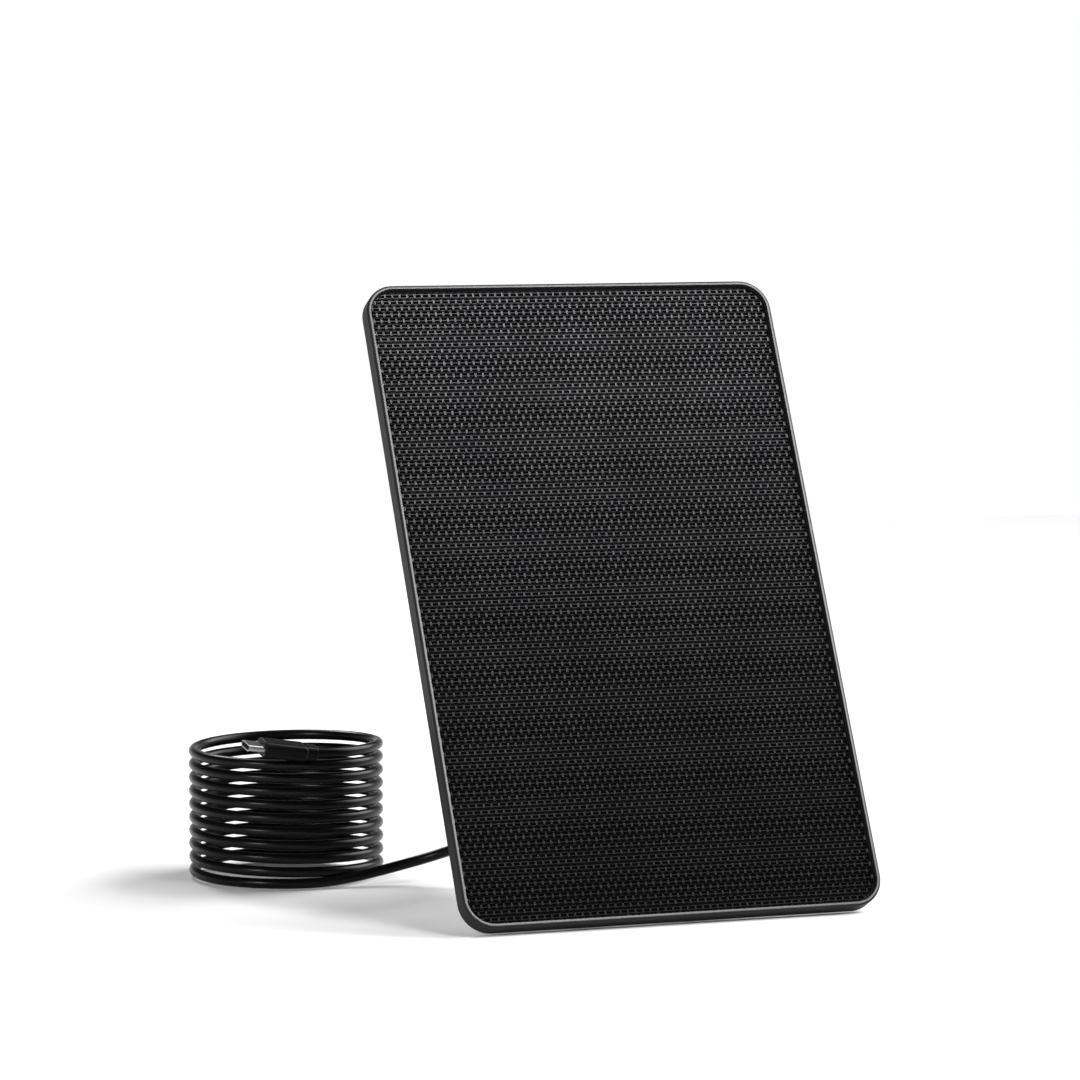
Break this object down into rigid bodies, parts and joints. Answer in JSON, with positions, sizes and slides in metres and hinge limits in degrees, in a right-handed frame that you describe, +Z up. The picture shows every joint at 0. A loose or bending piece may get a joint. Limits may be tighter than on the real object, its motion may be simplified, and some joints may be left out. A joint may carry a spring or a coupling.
{
  "type": "solar charging panel for a security camera",
  "caption": "Flat rectangular solar charger with rounded corners, leaning on a tilting mounting bracket, with a thin coiled cord that ends in a small power plug.",
  "frame": {"origin": "centre of the bracket foot's underside, in the middle of its screw holes, straight below the tilt pivot", "axes": "+Z up out of the surface that the foot is on, +X to the right along the panel's width, the solar face looks towards -Y and up"},
  "size_m": [0.2205, 0.2024, 0.2316],
  "materials": {
    "rim_plastic": "satin moulded black",
    "cover_plastic": "fine moulded texture",
    "laminate_film": "embossed clear film over black cells",
    "encapsulant": "clear",
    "silicon": "dark blue-black",
    "tinned_copper": "tinned",
    "circuit_board": "solder mask",
    "sealant": "matte black bead",
    "gasket_rubber": "matte",
    "bright_steel": "bright",
    "brass": "machined",
    "bracket_plastic": "fine moulded texture",
    "bracket_metal": "black anodised",
    "nylon": "natural",
    "component_body": "matte",
    "component_can": "satin",
    "wire_insulation": "satin",
    "cord_jacket": "satin black",
    "plug_plastic": "satin black"
  },
  "bodies": {
    "panel": {"frame": "rim_plastic", "face_film": "laminate_film", "front_encapsulant": "encapsulant", "solar_cells": "silicon", "cell_ribbons": "tinned_copper", "rear_encapsulant": "encapsulant", "backing_board": "circuit_board", "edge_seal": "sealant", "rear_cover": "cover_plastic", "cover_screws": "bright_steel", "stud_insert": "brass", "box_gasket": "gasket_rubber", "junction_box": "cover_plastic", "box_screws": "bright_steel", "regulator_board": "circuit_board", "inductor": "component_body", "capacitors": "component_can", "blocking_diode": "component_body", "regulator_chip": "component_body", "hookup_wires": "wire_insulation", "cord_gland": "gasket_rubber", "cord_lead": "cord_jacket", "cord_tail": "cord_jacket", "cord_coil": "cord_jacket", "plug_collar": "plug_plastic", "plug_overmould": "plug_plastic", "plug_shell": "bright_steel", "plug_tongue": "component_body", "stud_knuckle": "bracket_metal"},
    "lock_wheel": {"lock_wheel": "bracket_plastic"},
    "arm": {"arm": "bracket_plastic", "friction_washers": "nylon", "pivot_bolt": "bright_steel", "thrust_washer": "nylon", "swivel_washer": "bright_steel", "swivel_screw": "bright_steel"},
    "tilt_knob": {"tilt_knob": "bracket_plastic"},
    "foot": {"base_plate": "bracket_plastic", "base_pad": "gasket_rubber"}
  },
  "joints": [
    {"name": "arm_tilt", "type": "hinge", "parent": "panel", "child": "arm", "pos_m": [0, 0, 0.10133], "axis": [1, 0, 0], "range_deg": [-22.1, 147.9]},
    {"name": "foot_swivel", "type": "hinge", "parent": "arm", "child": "foot", "pos_m": [0, 0, 0], "axis": [0, 0, 1], "continuous": true},
    {"name": "knob_turn", "type": "hinge", "parent": "arm", "child": "tilt_knob", "pos_m": [0.013, 0, 0.10133], "axis": [1, 0, 0], "range_deg": [0, 360]},
    {"name": "lock_wheel_turn", "type": "hinge", "parent": "panel", "child": "lock_wheel", "pos_m": [0, -0.01807, 0.11057], "axis": [0, 0.8902, -0.4555], "range_deg": [0, 360]}
  ]
}
